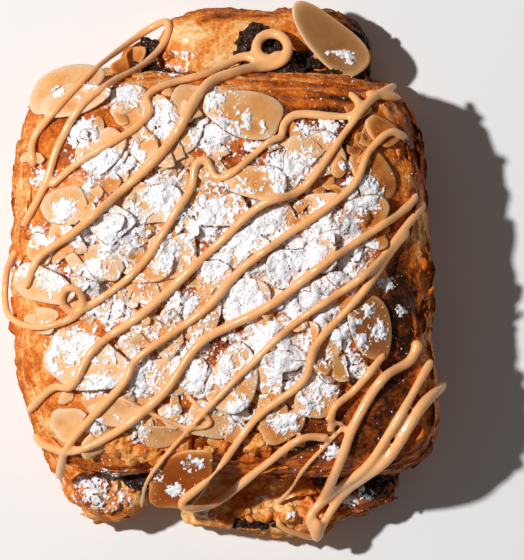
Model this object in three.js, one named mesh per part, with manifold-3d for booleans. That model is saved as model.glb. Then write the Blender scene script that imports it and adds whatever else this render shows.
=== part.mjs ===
// An almond pain au chocolat: a baked roll split through the middle, filled, closed again, topped
// with flaked almonds and drizzled. Millimetres; X runs across, Y along the roll, Z up.
import * as THREE from "three";
import { mergeVertices } from "three/addons/utils/BufferGeometryUtils.js";
import Module from "manifold-3d";

const wasm = await Module();
wasm.setup();

// Gap kept between neighbouring pieces
const CLEARANCE = 0.3;

// Lower half of the roll, and the rolled ends that stick out of it past the upper half
const BASE_HEIGHT = 17;
const BASE = {
  halfWidth: 46, halfLength: 47, squareness: 5, floor: 0, height: BASE_HEIGHT,
  edge: 8, press: 1.6, around: 44, rings: 14,
};
const END_FORM = { squareness: 3.2, floor: 0, edge: 4, press: 1.12, around: 20, rings: 8 };
const ROLLED_ENDS = [
  { x: 6.5, y: 45, halfWidth: 23, halfLength: 15.5, height: 17.3 },
  { x: 24, y: 46, halfWidth: 9.5, halfLength: 14, height: 15 },
  { x: -16.5, y: 46, halfWidth: 7, halfLength: 7, height: 13.5, squareness: 2.5 },
  { x: -25, y: -46, halfWidth: 10, halfLength: 10.3, height: 16.5, squareness: 2.2 },
  { x: 9, y: -46, halfWidth: 22, halfLength: 12, height: 15.5 },
  { x: 28, y: -43, halfWidth: 12, halfLength: 9, height: 16.5 },
];

// Chocolate layer between the halves, pushed out where the roll is open
const FILLING_THICKNESS = 4.5;
const FILLING_FLOOR = Math.max(BASE_HEIGHT, ...ROLLED_ENDS.map((end) => end.height)) + CLEARANCE;
const FILLING = {
  halfWidth: 44, halfLength: 45, squareness: 5, floor: FILLING_FLOOR, height: FILLING_THICKNESS,
  edge: 10, press: 1.8, ridges: 0.5, around: 48, rings: 8,
  lobes: [
    { at: 78, spread: 9, reach: 8 },
    { at: 60, spread: 6, reach: 1 },
    { at: 111, spread: 6, reach: 5 },
    { at: -109, spread: 6, reach: 6 },
    { at: -58, spread: 11, reach: 5 },
    { at: -5, spread: 9, reach: 2 },
  ],
};

// Upper half of the roll: a low dome, a little drawn out at one corner
const CROWN_FLOOR = FILLING_FLOOR + FILLING_THICKNESS + CLEARANCE;
const CROWN = {
  halfWidth: 47, halfLength: 45.5, squareness: 5, floor: CROWN_FLOOR, height: 18,
  edge: 4, press: 1, waist: 0.12, bumps: 0.5, around: 48, rings: 20,
  lobes: [
    { at: -40, spread: 14, reach: 4.5 },
    { at: 36, spread: 8, reach: -2 },
    { at: 22, spread: 9, reach: -1.5 },
    { at: 133, spread: 9, reach: 0.5 },
    { at: -143, spread: 12, reach: -1.8 },
    { at: -100, spread: 12, reach: -2 },
  ],
};

// Leaves of the dough, seen as ridges round the sides, and the pitch of the bumps in the top crust
const RIDGE_PITCH = 4.2;
const RIDGE_DEPTH = 0.75;
const RIDGE_SWAY = 1.6;
const BUMP_PITCH = 15;

// Flaked almonds, lowest first: plan position, length, width, turn from X in degrees
const ALMOND_THICKNESS = 0.9;
const ALMOND_SIDES = 12;
const ALMOND_STEEPEST = 0.8;
const ALMONDS = [
  [20.5, 26.3, 15, 10, 20], [34, 22.5, 14, 9.5, -55], [10.8, 11.3, 13, 8.5, 30], [31.5, 13, 14, 9.5, 30],
  [22.5, -17, 13, 8.5, 60], [-34, -33.5, 10, 8, 15], [-23.6, -30.4, 13, 8.5, -20], [-13, -35.5, 12, 7.5, 5],
  [-2.5, -33, 12, 8, -20], [-28.6, 2.3, 13, 8.5, 35], [-40.5, 7, 10, 7, 60], [-35.5, 15.5, 11, 9, 10],
  [-15.5, 15.8, 14, 9, 10], [0.5, 13.5, 12, 8.5, 20], [7.4, 20.9, 15, 8.5, -10], [-18, -13.5, 13, 8, 30],
  [5.2, -5.6, 13, 10, 20], [-4.5, -9.5, 11, 8.5, 80], [-11.3, 29.9, 14, 8, 15], [-27, 28, 13, 9, 40],
  [-25, 11.5, 12, 9, -30], [13.5, -33.5, 12, 8, 25], [-9.5, 4, 12, 8.5, 40], [36, 32.5, 9, 6.5, -40],
  [15.5, 1.5, 12, 9, 15], [-21.5, 40, 9, 7.5, 30], [-42.5, 25.9, 7.2, 3.6, 0], [-13, -23, 13, 9, 10],
  [-8, 38.5, 12, 8, 70], [25.5, -4.5, 13, 9, -20], [23, 5.5, 11, 8, 50], [12.5, -18.5, 12, 8.5, 0],
  [24.1, 53.6, 22.5, 10.2, -43], [-33, 40, 17, 10, 18], [4.7, 36.5, 19, 12, -15], [33.5, -12, 16, 10, -70],
  [2.7, -23.2, 16.5, 11, 75], [21.8, -26.5, 13, 9, 65], [-30.4, -19.6, 20.5, 13, -15],
  [-9, -45.7, 21, 12, 50], [-40, -2.3, 17, 8.5, -15],
];

// Drizzle: strand thickness, then the course of the strand in plan
const STRAND_SIDES = 6;
const STRAND_STEP = 4;
const STRAND_SINK = 0.4;
const STRAND_SAG = 1.6;
const STRAND_DROOP = 0.7;
const FINE = 0.7;
const MEDIUM = 1.15;
const THICK = 1.3;
const STRANDS = [
  { radius: MEDIUM, course: [
    [-42.5, 24.3], [-42.7, 30], [-37, 37.8], [-26, 48.8], [-16, 55.8], [-12.4, 57]] },
  { radius: MEDIUM, course: [
    [-12.4, 57], [-13, 53.6], [-17.6, 48], [-25.2, 43.4], [-32, 37.6], [-37, 28.8], [-39.8, 20.5],
    [-45, 10.8]] },
  { radius: MEDIUM, course: [
    [-46.6, 5.6], [-48.8, 0.7], [-48.4, -8.8], [-42.5, -11.7], [-33.5, -9.5], [-31.3, -6.4], [-32.4, -3.4],
    [-35, -3]] },
  { radius: MEDIUM, course: [
    [-35, -3], [-36, -6], [-33.5, -8.3], [-29.7, -6.8], [-18.7, 1.6], [-10.1, 14.6], [-6.8, 19.8],
    [-5.9, 24.8], [-3.8, 26]] },
  { radius: MEDIUM, course: [[-3.8, 26], [-1.4, 22], [0.7, 22], [11.3, 30.4], [13.2, 31]] },
  { radius: MEDIUM, course: [[13.2, 31], [14, 34], [16.4, 36], [29.3, 36], [30.8, 38.4], [28.6, 41.2]] },
  { radius: MEDIUM, course: [
    [-38.7, 19.8], [-33, 24.8], [-18.7, 33.8], [-16.2, 37.1], [-17, 39.8], [-14.8, 42], [-1.8, 46.1],
    [4.7, 49.5], [7.2, 49], [10.6, 44.8]] },
  { radius: MEDIUM, course: [[9, 48.4], [7.4, 51.5], [8.5, 54], [11.5, 55.2], [14.6, 54]] },
  { radius: MEDIUM, course: [
    [14.6, 54], [15.5, 51.2], [13.8, 48.2], [11, 47.2], [7, 47], [-2.3, 43.7], [-5.6, 40], [-12.4, 28.8],
    [-23.6, 18], [-33.1, 9.7], [-41.4, 3.6], [-44.3, -3.2]] },
  { radius: MEDIUM, course: [
    [-43.9, -30.8], [-37.6, -25.2], [-34.2, -25.2], [-29, -16.9], [-16.9, -7.9], [-1.1, 6.8], [9, 15.8],
    [17.6, 19.1], [28.6, 33.3], [33.5, 39.4], [39.2, 43]] },
  { radius: MEDIUM, course: [[32.2, 41], [36.9, 40.3], [40.3, 40]] },
  { radius: MEDIUM, course: [
    [-37.1, -46.1], [-34.9, -38.9], [-21.4, -23.2], [-19.8, -19.6], [-4, -7.9], [4.5, 1.4], [13.7, 8.3],
    [29.5, 20.2], [33.3, 28.1], [38.2, 32.2], [41.6, 30.8]] },
  { radius: MEDIUM, course: [
    [-42.5, -36], [-40.4, -38.2], [-34.2, -39.8], [-24.3, -35.6], [-13, -26.3], [-5, -15.5], [10.8, -6.8],
    [22, 1.8], [42.8, 16.4], [43.9, 18.5]] },
  { radius: MEDIUM, course: [
    [45.7, 16.4], [39.4, 8.3], [33.3, 1.1], [15.3, -11.7], [7, -19.6], [-5.2, -32.2], [-16.9, -46.6],
    [-18.5, -53]] },
  { radius: MEDIUM, course: [
    [41.9, 10.1], [31.5, -4], [20.9, -16.2], [18.5, -23.4], [7.9, -32], [-1.8, -44.8], [-9.3, -52]] },
  { radius: MEDIUM, course: [[-9.3, -52], [-2.9, -52.2], [8.6, -43.7], [18.2, -36.7], [24.1, -36.7]] },
  { radius: FINE, course: [[27.7, -33.8], [18.2, -44.1], [15.8, -48.2], [12.4, -52.2]] },
  { radius: MEDIUM, course: [[36.7, -17.6], [29.7, -25.9], [25, -30.2], [24.5, -34.4]] },
  { radius: THICK, course: [
    [44.1, -15.3], [42.5, -19.1], [36.5, -23], [29.7, -33.8], [27, -41], [23.6, -49.3], [22, -52.2]] },
  { radius: THICK, course: [
    [47.3, -19.1], [38.3, -34.7], [32.6, -43.2], [25, -49.3], [20, -55.1], [20.7, -58.5]] },
  { radius: THICK, course: [
    [50.4, -24.5], [45.2, -29.3], [37.1, -41.6], [28.6, -48.4], [23.9, -54.9], [21.4, -60]] },
  { radius: MEDIUM, course: [[12.4, -54.9], [13.5, -57.2], [18.7, -59.4], [21.4, -60]] },
  { radius: MEDIUM, course: [[-23, -27.5], [-14, -32], [-6.8, -34.4], [-2.6, -33.4]] },
  { radius: MEDIUM, course: [[-2.6, -33.4], [-4.4, -30.6], [-8.1, -26.8]] },
];

const CRUST = new THREE.MeshStandardMaterial({ name: "crust", color: 0xc9772f, roughness: 0.6 });
const CRUMB = new THREE.MeshStandardMaterial({ name: "crumb", color: 0xdc9a4e, roughness: 0.7 });
const CHOCOLATE = new THREE.MeshStandardMaterial({ name: "chocolate", color: 0x2a1710, roughness: 0.5 });
const ALMOND = new THREE.MeshStandardMaterial({ name: "almond", color: 0xe9cfa6, roughness: 0.55 });

const UP = new THREE.Vector3(0, 0, 1);
const radians = THREE.MathUtils.degToRad;

// A soft rolled piece: a rounded square in plan, widest at its waist, pressed flat above and below
class Pillow {
  constructor(form) {
    Object.assign(this, { x: 0, y: 0, lobes: [], waist: 0.5, ridges: RIDGE_DEPTH, bumps: 0 }, form);
  }

  radiusAt(angle) {
    const n = this.squareness;
    const across = Math.abs(Math.cos(angle) / this.halfWidth) ** n;
    const along = Math.abs(Math.sin(angle) / this.halfLength) ** n;
    let radius = (across + along) ** (-1 / n);
    for (const { at, spread, reach } of this.lobes) {
      const off = Math.atan2(Math.sin(angle - radians(at)), Math.cos(angle - radians(at)));
      radius += reach * Math.exp(-((off / radians(spread)) ** 2));
    }
    return radius;
  }

  // Height of the upper or lower skin above the piece's own floor, a share of the way out
  skin(share, side) {
    const swell = this.press * Math.max(0, 1 - share ** this.edge) ** (1 / 2.2);
    const reach = side > 0 ? 1 - this.waist : this.waist;
    return this.height * THREE.MathUtils.clamp(this.waist + side * reach * swell, 0, 1);
  }

  bumpAt(x, y, share) {
    const turn = (2 * Math.PI) / BUMP_PITCH;
    const wave = Math.sin(turn * x + 1.3) * Math.cos(turn * 0.8 * y - 0.4);
    return this.bumps * (wave + 0.6 * Math.sin(turn * 0.55 * (x + y))) * (1 - share ** 6);
  }

  topAt(x, y) {
    const share = Math.hypot(x - this.x, y - this.y) / this.radiusAt(Math.atan2(y - this.y, x - this.x));
    if (share >= 1) return -Infinity;
    return this.floor + this.skin(share, 1) + this.bumpAt(x, y, share);
  }

  geometry() {
    const profile = [];
    for (let i = 0; i <= this.rings; i++) {
      const turn = Math.PI * (i / this.rings - 0.5);
      const share = Math.max(0, Math.cos(turn)) ** (2 / this.edge);
      profile.push(new THREE.Vector2(i % this.rings === 0 ? 0 : share, this.skin(share, Math.sign(turn))));
    }
    const geometry = new THREE.LatheGeometry(profile, this.around).rotateX(Math.PI / 2);
    const place = geometry.getAttribute("position");
    for (let i = 0; i < place.count; i++) {
      const share = Math.hypot(place.getX(i), place.getY(i));
      const angle = Math.atan2(place.getY(i), place.getX(i));
      const height = place.getZ(i);
      const sway = RIDGE_SWAY * (Math.sin(3 * angle + this.floor) + 0.6 * Math.sin(7 * angle + this.x));
      const ridge = this.ridges * Math.sin((2 * Math.PI * (height + sway)) / RIDGE_PITCH);
      const out = share * this.radiusAt(angle) + ridge * THREE.MathUtils.smoothstep(share, 0.86, 0.97);
      const x = this.x + out * Math.cos(angle);
      const y = this.y + out * Math.sin(angle);
      const onTop = height > this.waist * this.height;
      place.setXYZ(i, x, y, this.floor + height + (onTop ? this.bumpAt(x, y, share) : 0));
    }
    return geometry;
  }
}

function toSolid(geometry) {
  geometry.deleteAttribute("normal");
  geometry.deleteAttribute("uv");
  const merged = mergeVertices(geometry, 1e-4);
  const vertProperties = new Float32Array(merged.getAttribute("position").array);
  const triVerts = new Uint32Array(merged.getIndex().array);
  return new wasm.Manifold(new wasm.Mesh({ numProp: 3, vertProperties, triVerts }));
}

// The largest body of a solid, as a named mesh
function toMesh(name, solid, material) {
  const body = solid.decompose().sort((a, b) => b.volume() - a.volume())[0];
  const { vertProperties, triVerts } = body.getMesh();
  const geometry = new THREE.BufferGeometry();
  geometry.setAttribute("position", new THREE.BufferAttribute(new Float32Array(vertProperties), 3));
  geometry.setIndex(new THREE.BufferAttribute(new Uint32Array(triVerts), 1));
  const mesh = new THREE.Mesh(geometry, material);
  mesh.name = name;
  return mesh;
}

const basePillow = new Pillow(BASE);
const endPillows = ROLLED_ENDS.map((end) => new Pillow({ ...END_FORM, ...end }));
const fillingPillow = new Pillow(FILLING);
const crownPillow = new Pillow(CROWN);
const lowerPillows = [basePillow, ...endPillows, fillingPillow];

const highest = (things, x, y) => Math.max(-Infinity, ...things.map((thing) => thing.topAt(x, y)));

// A slice lying flat: egg-shaped, one end more pointed
function almondGeometry(length, width, grow) {
  const outline = [];
  for (let i = 0; i < ALMOND_SIDES; i++) {
    const turn = (2 * Math.PI * i) / ALMOND_SIDES;
    const taper = 1 - 0.22 * Math.cos(turn);
    const reach = new THREE.Vector2(Math.cos(turn), taper * Math.sin(turn));
    outline.push(reach.multiply(new THREE.Vector2(length / 2 + grow, width / 2 + grow)));
  }
  const depth = ALMOND_THICKNESS + 2 * grow;
  const geometry = new THREE.ExtrudeGeometry(new THREE.Shape(outline), { depth, bevelEnabled: false });
  return geometry.translate(0, 0, -depth / 2);
}

// Rests a slice on the crust and on the slices laid before it
function layAlmond([x, y, length, width, turn], laid) {
  const flat = new THREE.Matrix4().makeRotationZ(radians(turn)).setPosition(x, y, 0);
  const spot = new THREE.Vector3();
  const feet = [];
  for (const share of [0.35, 0.7, 1]) {
    for (let i = 0; i < 2 * ALMOND_SIDES; i++) {
      const a = (Math.PI * i) / ALMOND_SIDES;
      spot.set((share * length * Math.cos(a)) / 2, (share * width * Math.sin(a)) / 2, 0).applyMatrix4(flat);
      const z = highest([crownPillow, ...lowerPillows, ...laid], spot.x, spot.y);
      if (Number.isFinite(z)) feet.push({ u: spot.x - x, v: spot.y - y, z });
    }
  }
  // It comes to rest at the slope that lets its middle down lowest
  const middleAt = (slope) => Math.max(...feet.map((f) => f.z - slope.x * f.u - slope.y * f.v));
  let slope = new THREE.Vector2();
  for (let step = 0.4; step > 0.002; step /= 1.5) {
    for (let i = 0; i < 24; i++) {
      const way = (Math.PI * i) / 12;
      const tried = new THREE.Vector2(Math.cos(way), Math.sin(way)).multiplyScalar(step).add(slope);
      if (tried.length() < ALMOND_STEEPEST && middleAt(tried) < middleAt(slope)) slope = tried;
    }
  }
  const rise = (px, py) => slope.x * (px - x) + slope.y * (py - y);
  const up = new THREE.Vector3(-slope.x, -slope.y, 1).normalize();
  const half = ALMOND_THICKNESS / (2 * up.z);
  const centre = new THREE.Vector3(x, y, middleAt(slope) + 1.2 * CLEARANCE + half);
  const frame = new THREE.Quaternion().setFromUnitVectors(UP, up);
  frame.multiply(new THREE.Quaternion().setFromAxisAngle(UP, radians(turn)));
  const matrix = new THREE.Matrix4().compose(centre, frame, new THREE.Vector3(1, 1, 1));
  const back = matrix.clone().invert();
  const topAt = (px, py) => {
    const top = new THREE.Vector3(px, py, centre.z + rise(px, py) + half);
    const at = top.clone().applyMatrix4(back);
    const out = Math.hypot((2 * at.x) / (length + 1), (2 * at.y) / (1.22 * width + 1));
    return out < 1 ? top.z : -Infinity;
  };
  return { length, width, matrix, topAt };
}

// Lets a strand down on the crust; over slices and over other pieces it keeps clear
function drape({ course, radius }, slices) {
  const corners = course.map(([x, y]) => new THREE.Vector3(x, y, 0));
  const plan = new THREE.CatmullRomCurve3(corners, false, "centripetal");
  const points = plan.getSpacedPoints(Math.ceil(plan.getLength() / STRAND_STEP));
  const rest = points.map(({ x, y }) => {
    let height = Math.max(radius, crownPillow.topAt(x, y) + STRAND_SINK * radius);
    for (let i = 0; i < 9; i++) {
      const reach = i === 0 ? 0 : 1.2 * radius;
      const px = x + reach * Math.cos((i * Math.PI) / 4);
      const py = y + reach * Math.sin((i * Math.PI) / 4);
      height = Math.max(height, highest([...lowerPillows, ...slices], px, py) + 1.5 * CLEARANCE + radius);
    }
    return height;
  });
  // Between supports the strand sags, and past the last one it droops
  const last = points.length - 1;
  const heights = rest.map((height) => Math.max(height, Math.min(...rest.filter(Number.isFinite))));
  for (let pass = 0; pass < 60; pass++) {
    for (let i = 0; i <= last; i++) {
      let free = (heights[Math.max(0, i - 1)] + heights[Math.min(last, i + 1)]) / 2 - STRAND_SAG;
      if (i === 0) free = heights[1] - STRAND_DROOP * STRAND_STEP;
      if (i === last) free = heights[last - 1] - STRAND_DROOP * STRAND_STEP;
      heights[i] = Math.max(rest[i], free);
    }
  }
  const path = new THREE.CatmullRomCurve3(points.map(({ x, y }, i) => new THREE.Vector3(x, y, heights[i])));
  const ring = [];
  for (let i = 0; i < STRAND_SIDES; i++) {
    const turn = (2 * Math.PI * i) / STRAND_SIDES;
    ring.push(new THREE.Vector2(radius * Math.cos(turn), radius * Math.sin(turn)));
  }
  const sweep = { steps: last, extrudePath: path, bevelEnabled: false };
  return new THREE.ExtrudeGeometry(new THREE.Shape(ring), sweep);
}

let base = toSolid(basePillow.geometry());
for (const end of endPillows) base = base.add(toSolid(end.geometry()));
let filling = toSolid(fillingPillow.geometry());
let crown = toSolid(crownPillow.geometry());

const slices = [];
for (const almond of ALMONDS) slices.push(layAlmond(almond, slices));
for (const strand of STRANDS) crown = crown.add(toSolid(drape(strand, slices)));
for (const { length, width, matrix } of slices) {
  const pocket = toSolid(almondGeometry(length, width, CLEARANCE).applyMatrix4(matrix));
  crown = crown.subtract(pocket);
  filling = filling.subtract(pocket);
  base = base.subtract(pocket);
}

const group = new THREE.Group();
group.name = "almond_pain_au_chocolat";
group.add(toMesh("base", base, CRUMB));
group.add(toMesh("filling", filling, CHOCOLATE));
group.add(toMesh("crown", crown, CRUST));
slices.forEach(({ length, width, matrix }, i) => {
  const mesh = new THREE.Mesh(almondGeometry(length, width, 0), ALMOND);
  mesh.name = `almond_${String(i + 1).padStart(2, "0")}`;
  mesh.applyMatrix4(matrix);
  group.add(mesh);
});

export default group;
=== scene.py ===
# %% [markdown]
# # An almond pain au chocolat
# The pastry is a laminated roll that was baked, split through the middle, filled with chocolate,
# closed, covered with flaked almonds, dusted with icing sugar and drizzled with nut cream.
# The exact solids give every piece its place and size. Here each one gets its surface: leaves of
# dough, toasted almonds, powder and satin cream.

# %% Load the solids
import math

import bpy
import numpy as np
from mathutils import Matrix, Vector
from mathutils.bvhtree import BVHTree


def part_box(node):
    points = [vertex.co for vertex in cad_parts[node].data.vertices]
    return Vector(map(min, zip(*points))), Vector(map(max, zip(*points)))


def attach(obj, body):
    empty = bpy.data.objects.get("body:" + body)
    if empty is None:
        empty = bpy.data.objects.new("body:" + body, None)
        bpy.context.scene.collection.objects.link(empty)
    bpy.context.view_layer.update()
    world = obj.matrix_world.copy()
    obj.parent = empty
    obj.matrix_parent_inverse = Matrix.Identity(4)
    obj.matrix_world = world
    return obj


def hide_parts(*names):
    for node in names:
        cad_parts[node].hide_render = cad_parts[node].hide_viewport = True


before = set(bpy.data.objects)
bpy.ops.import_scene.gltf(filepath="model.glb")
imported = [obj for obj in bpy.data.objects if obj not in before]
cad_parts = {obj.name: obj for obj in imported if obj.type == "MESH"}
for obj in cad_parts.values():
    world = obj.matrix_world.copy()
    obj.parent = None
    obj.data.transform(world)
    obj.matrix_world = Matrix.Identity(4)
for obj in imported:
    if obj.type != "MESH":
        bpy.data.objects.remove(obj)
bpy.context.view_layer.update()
MM = 0.001


# %% [markdown]
# ## Helpers for shaping
# Food has no straight edge, so most shaping here moves the points of a fine mesh. It could be
# sculpted by hand, but functions of a point's place give the same result at each run. Points are
# read and written as arrays in millimetres, which is quick and keeps the numbers readable. Soft
# random values come from a lattice of random numbers, blended smoothly between its corners.


# %% Points in and out of a mesh
def read_points(piece, field):
    flat = np.empty(len(piece.data.vertices) * 3, np.float32)
    piece.data.vertices.foreach_get(field, flat)
    return flat.reshape(-1, 3).astype(float)


def points_of(piece):
    return read_points(piece, "co") / MM


def normals_of(piece):
    return read_points(piece, "normal")


def move_points(piece, points):
    piece.data.vertices.foreach_set("co", (points * MM).astype(np.float32).ravel())
    piece.data.update()


def mark(piece, name, values):
    layer = piece.data.attributes.new(name, "FLOAT", "POINT")
    layer.data.foreach_set("value", np.asarray(values, np.float32))


# %% Soft values
LATTICE = 32


def cloud(points, size, seed):
    table = np.random.default_rng(seed).uniform(-1, 1, (LATTICE, LATTICE, LATTICE))
    place = np.asarray(points, float) / size
    cell = np.floor(place).astype(int)
    part = place - cell
    part = part * part * (3 - 2 * part)
    total = np.zeros(len(place))
    for corner in np.ndindex(2, 2, 2):
        index = (cell + corner) % LATTICE
        weight = np.prod(np.where(corner, part, 1 - part), axis=1)
        total += weight * table[index[:, 0], index[:, 1], index[:, 2]]
    return total


def ease(values, low, high):
    share = np.clip((values - low) / (high - low), 0, 1)
    return share * share * (3 - 2 * share)


def soft_spot(points, x, y, across, along, power=1.0, fall=1.0):
    out = ((points[:, 0] - x) / across) ** 2 + ((points[:, 1] - y) / along) ** 2
    return np.exp(-(out**power) * fall)


# %% Objects
WELD = 0.01 * MM


def only(piece):
    bpy.ops.object.select_all(action="DESELECT")
    piece.select_set(True)
    bpy.context.view_layer.objects.active = piece


def new_primitive(operator, **settings):
    bpy.ops.object.select_all(action="DESELECT")
    operator(**settings)
    return bpy.context.object


def new_object(name, data):
    made = bpy.data.objects.new(name, data)
    bpy.context.scene.collection.objects.link(made)
    return made


def copy_of_node(node, name):
    only(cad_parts[node])
    bpy.ops.object.duplicate()
    piece = bpy.context.object
    piece.name = name
    piece.parent = None
    bpy.ops.object.mode_set(mode="EDIT")
    bpy.ops.mesh.select_all(action="SELECT")
    bpy.ops.mesh.remove_doubles(threshold=WELD)
    bpy.ops.object.mode_set(mode="OBJECT")
    return piece


# %% Modifiers and arrays
def apply(piece, kind, **settings):
    only(piece)
    modifier = piece.modifiers.new(kind.title(), kind)
    for key, value in settings.items():
        setattr(modifier, key, value)
    bpy.ops.object.modifier_apply(modifier=modifier.name)


def rebuild(piece, voxel, rounds):
    apply(piece, "REMESH", mode="VOXEL", voxel_size=voxel * MM)
    apply(piece, "SMOOTH", factor=0.5, iterations=rounds)


def from_arrays(name, points, faces):
    mesh = bpy.data.meshes.new(name)
    mesh.from_pydata((np.asarray(points) * MM).tolist(), [], np.asarray(faces).tolist())
    return new_object(name, mesh)


def take_arrays(piece):
    points = points_of(piece) * MM
    faces = np.array([list(face.vertices) for face in piece.data.polygons])
    bpy.data.objects.remove(piece)
    return points, faces


# %% Handing a piece over
def complete(piece, name, finish, slot, *nodes):
    piece.name = name
    piece.data.name = name
    piece.data.materials.clear()
    piece.data.materials.append(finish)
    only(piece)
    bpy.ops.object.shade_smooth()
    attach(piece, "root")
    if nodes:
        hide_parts(*nodes)
    triangles = sum(len(face.vertices) - 2 for face in piece.data.polygons)
    print(f"{name}: {triangles} triangles")


# %% [markdown]
# ## Helpers for finishes
# Every finish is a Principled shader fed by noise in object coordinates and by values that were
# marked on the mesh while it was shaped, such as how brown the crust is at a point, which also
# carries some painted shade and painted light. A painted picture could do this too, but noise has
# no seams and stays sharp from close by.


# %% Colours and sums
def srgb(red, green, blue):
    values = np.array([red, green, blue]) / 255
    linear = np.where(values <= 0.04045, values / 12.92, ((values + 0.055) / 1.055) ** 2.4)
    return (*[float(v) for v in linear], 1.0)


def feed(tree, socket, value):
    if isinstance(value, bpy.types.NodeSocket):
        tree.links.new(value, socket)
    else:
        socket.default_value = value


def add(tree, kind, inputs=None, **settings):
    made = tree.nodes.new(kind)
    for key, value in settings.items():
        setattr(made, key, value)
    for key, value in (inputs or {}).items():
        feed(tree, made.inputs[key], value)
    return made


def sums(tree, operation, first, second, clamp=False):
    inputs = {0: first, 1: second}
    return add(tree, "ShaderNodeMath", inputs, operation=operation, use_clamp=clamp).outputs[0]


def scaled(tree, value, factor, offset):
    return sums(tree, "ADD", sums(tree, "MULTIPLY", value, factor), offset)


def swing(tree, value, reach):
    return sums(tree, "MULTIPLY", sums(tree, "SUBTRACT", value, 0.5), reach)


# %% Ramps and blends
MIX_FIRST, MIX_SECOND, MIX_RESULT = 6, 7, 2


def ramp(tree, factor, stops):
    made = add(tree, "ShaderNodeValToRGB", {"Fac": factor})
    elements = made.color_ramp.elements
    while len(elements) < len(stops):
        elements.new(0.5)
    for element, (place, colour) in zip(elements, stops):
        element.position = place
        element.color = colour
    return made.outputs["Color"]


def blend(tree, factor, first, second):
    made = add(tree, "ShaderNodeMix", {"Factor": factor}, data_type="RGBA")
    feed(tree, made.inputs[MIX_FIRST], first)
    feed(tree, made.inputs[MIX_SECOND], second)
    return made.outputs[MIX_RESULT]


# %% A finish and what feeds it
SOFT_RADIUS = (1.0, 0.7, 0.45)
SOFT_SCALE = 0.8 * MM


def new_finish(name, **sockets):
    material = bpy.data.materials.new(name)
    material.use_nodes = True
    shader = material.node_tree.nodes["Principled BSDF"]
    for key, value in sockets.items():
        shader.inputs[key.replace("_", " ")].default_value = value
    shader.inputs["Subsurface Radius"].default_value = SOFT_RADIUS
    shader.inputs["Subsurface Scale"].default_value = SOFT_SCALE
    return material, material.node_tree, shader


def marked(tree, name):
    return add(tree, "ShaderNodeAttribute", attribute_name=name).outputs["Fac"]


def object_place(tree):
    return add(tree, "ShaderNodeTexCoord").outputs["Object"]


def noise(tree, place, size, detail=3.0, roughness=0.55):
    inputs = {"Vector": place, "Scale": 1 / (size * MM), "Detail": detail, "Roughness": roughness}
    return add(tree, "ShaderNodeTexNoise", inputs).outputs["Fac"]


def wire(tree, shader, **sockets):
    for key, value in sockets.items():
        tree.links.new(value, shader.inputs[key.replace("_", " ")])


def emboss(tree, shader, height, strength, depth):
    inputs = {"Strength": strength, "Distance": depth * MM, "Height": height}
    wire(tree, shader, Normal=add(tree, "ShaderNodeBump", inputs).outputs["Normal"])


# %% [markdown]
# Two effects are shared, so each is a node group. The grain group gives a soft mottle, a fine speck
# and a height for bumps. The sugar film group turns the marked amount of dust into a broken white
# film, so that powder thins out into single specks at its edge and never ends in a line.


# %% Shared groups
def new_group(name, inputs, outputs):
    tree = bpy.data.node_groups.new(name, "ShaderNodeTree")
    for way, sockets in (("INPUT", inputs), ("OUTPUT", outputs)):
        for socket in sockets:
            tree.interface.new_socket(socket, in_out=way, socket_type="NodeSocketFloat")
    return tree


def weighed(tree, first, first_share, second, second_share):
    first_part = sums(tree, "MULTIPLY", first, first_share)
    return sums(tree, "ADD", first_part, sums(tree, "MULTIPLY", second, second_share))


def make_grain():
    tree = new_group("baked_grain", [], ["Mottle", "Speck", "Height"])
    place = object_place(tree)
    mottle = noise(tree, place, 4.5, 4)
    speck = noise(tree, place, 0.9, 3, 0.6)
    height = weighed(tree, mottle, 0.8, speck, 0.5)
    add(tree, "NodeGroupOutput", {"Mottle": mottle, "Speck": speck, "Height": height})
    return tree


def make_film():
    tree = new_group("sugar_film", ["Dust"], ["Mask"])
    dust = add(tree, "NodeGroupInput").outputs["Dust"]
    place = object_place(tree)
    level = weighed(tree, noise(tree, place, 0.55, 4, 0.7), 0.75, noise(tree, place, 2.6, 2), 0.5)
    level = sums(tree, "SUBTRACT", sums(tree, "ADD", level, dust), 0.93)
    add(tree, "NodeGroupOutput", {"Mask": sums(tree, "MULTIPLY", level, 7.0, clamp=True)})
    return tree


GRAIN = make_grain()
FILM = make_film()
SUGAR_WHITE = srgb(250, 246, 245)
print("groups:", GRAIN.name, FILM.name)


# %% Using the groups
def grain_of(tree):
    return add(tree, "ShaderNodeGroup", node_tree=GRAIN).outputs


def under_film(tree, colour):
    film = add(tree, "ShaderNodeGroup", {"Dust": marked(tree, "dust")}, node_tree=FILM)
    mask = film.outputs["Mask"]
    return blend(tree, mask, colour, SUGAR_WHITE), mask
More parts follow.
